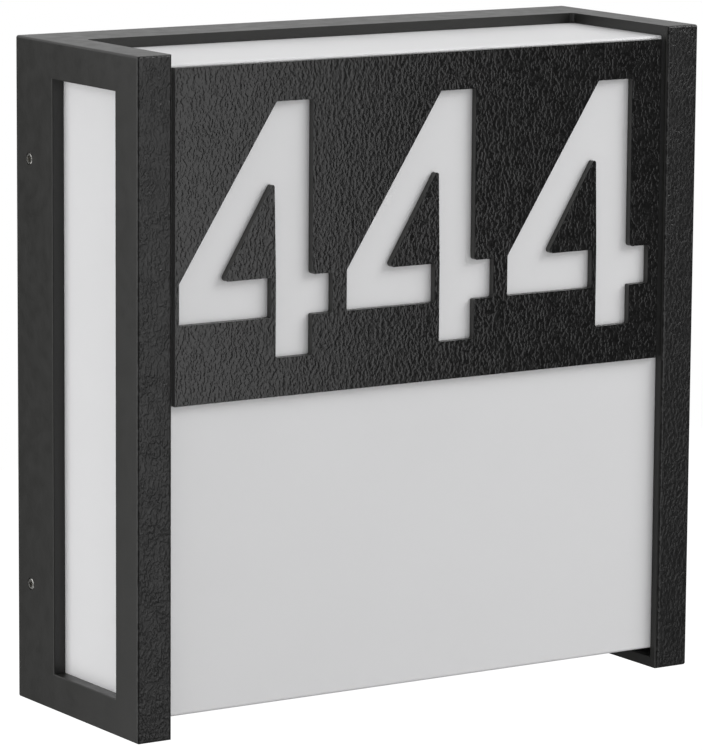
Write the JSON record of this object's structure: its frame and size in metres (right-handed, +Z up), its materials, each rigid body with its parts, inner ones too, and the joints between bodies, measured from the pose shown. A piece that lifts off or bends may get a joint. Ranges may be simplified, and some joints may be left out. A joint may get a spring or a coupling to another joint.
{
  "type": "illuminated house number sign",
  "caption": "Wall light with a house number: dark cast frame round an opal box, stencil-cut number plate on the upper front, lamps inside, hood that lifts off its wall plate.",
  "frame": {"origin": "on the wall plane, at the middle of the sign's back", "axes": "+Z up, the front faces -Y, +X to the right as seen from the front"},
  "size_m": [0.28, 0.1, 0.283],
  "materials": {
    "coated_casting": "satin dark powder coat",
    "coated_plate": "textured dark powder coat",
    "opal_acrylic": "satin opal",
    "foam": "matte",
    "rubber": "matte",
    "white_sheet": "white, satin",
    "zinc_steel": "bright zinc",
    "stainless_steel": "bright",
    "brass": "bright",
    "tinned_copper": "tinned",
    "white_polyamide": "matte",
    "holder_plastic": "satin",
    "glazed_ceramic": "glazed",
    "cap_metal": "bright",
    "black_insulator": "gloss",
    "lamp_housing": "gloss",
    "lamp_cover": "satin opal",
    "brown_lead": "matte",
    "blue_lead": "matte",
    "earth_green": "matte"
  },
  "bodies": {
    "wall_side": {"wall_plate": "white_sheet", "wall_gasket": "foam", "cable_grommet": "rubber", "lampholder_bracket": "zinc_steel", "bracket_screws": "zinc_steel", "terminal_block": "white_polyamide", "terminal_clamps": "brass", "terminal_screws": "brass", "terminal_fixing_screws": "zinc_steel", "earth_screw": "stainless_steel", "earth_washer": "stainless_steel", "earth_lug": "tinned_copper", "earth_lead": "earth_green", "live_lead_left": "brown_lead", "live_lead_right": "brown_lead", "neutral_lead_left": "blue_lead", "neutral_lead_right": "blue_lead", "mounting_nipples": "zinc_steel", "nipple_nuts": "zinc_steel", "lampholder_body_left": "holder_plastic", "lampholder_insert_left": "glazed_ceramic", "lampholder_shell_left": "tinned_copper", "lampholder_contact_left": "brass", "lampholder_body_right": "holder_plastic", "lampholder_insert_right": "glazed_ceramic", "lampholder_shell_right": "tinned_copper", "lampholder_contact_right": "brass"},
    "hood": {"frame": "coated_casting", "diffuser": "opal_acrylic", "diffuser_gasket": "foam", "number_plate": "coated_plate", "plate_studs": "zinc_steel", "plate_washers": "zinc_steel", "plate_nuts": "zinc_steel", "diffuser_clips": "stainless_steel", "clip_screws": "stainless_steel"},
    "lamp_left": {"lamp_insulator_left": "black_insulator", "lamp_cap_left": "cap_metal", "lamp_neck_left": "lamp_housing", "lamp_globe_left": "lamp_cover"},
    "lamp_right": {"lamp_insulator_right": "black_insulator", "lamp_cap_right": "cap_metal", "lamp_neck_right": "lamp_housing", "lamp_globe_right": "lamp_cover"},
    "set_screw_left_lower": {"set_screw_left_lower": "stainless_steel"},
    "set_screw_left_upper": {"set_screw_left_upper": "stainless_steel"},
    "set_screw_right_lower": {"set_screw_right_lower": "stainless_steel"},
    "set_screw_right_upper": {"set_screw_right_upper": "stainless_steel"}
  },
  "joints": [
    {"name": "hood_lift", "type": "slide", "parent": "wall_side", "child": "hood", "axis": [0, -1, 0], "range_m": [0, 0.12]},
    {"name": "lamp_turn_left", "type": "hinge", "parent": "wall_side", "child": "lamp_left", "pos_m": [-0.062, -0.048, 0], "axis": [0, 0, 1], "range_deg": [0, 1080]},
    {"name": "lamp_turn_right", "type": "hinge", "parent": "wall_side", "child": "lamp_right", "pos_m": [0.062, -0.048, 0], "axis": [0, 0, 1], "range_deg": [0, 1080]},
    {"name": "set_screw_left_lower_travel", "type": "slide", "parent": "hood", "child": "set_screw_left_lower", "axis": [-1, 0, 0], "range_m": [0, 0.0032]},
    {"name": "set_screw_left_upper_travel", "type": "slide", "parent": "hood", "child": "set_screw_left_upper", "axis": [-1, 0, 0], "range_m": [0, 0.0032]},
    {"name": "set_screw_right_lower_travel", "type": "slide", "parent": "hood", "child": "set_screw_right_lower", "axis": [1, 0, 0], "range_m": [0, 0.0032]},
    {"name": "set_screw_right_upper_travel", "type": "slide", "parent": "hood", "child": "set_screw_right_upper", "axis": [1, 0, 0], "range_m": [0, 0.0032]}
  ]
}
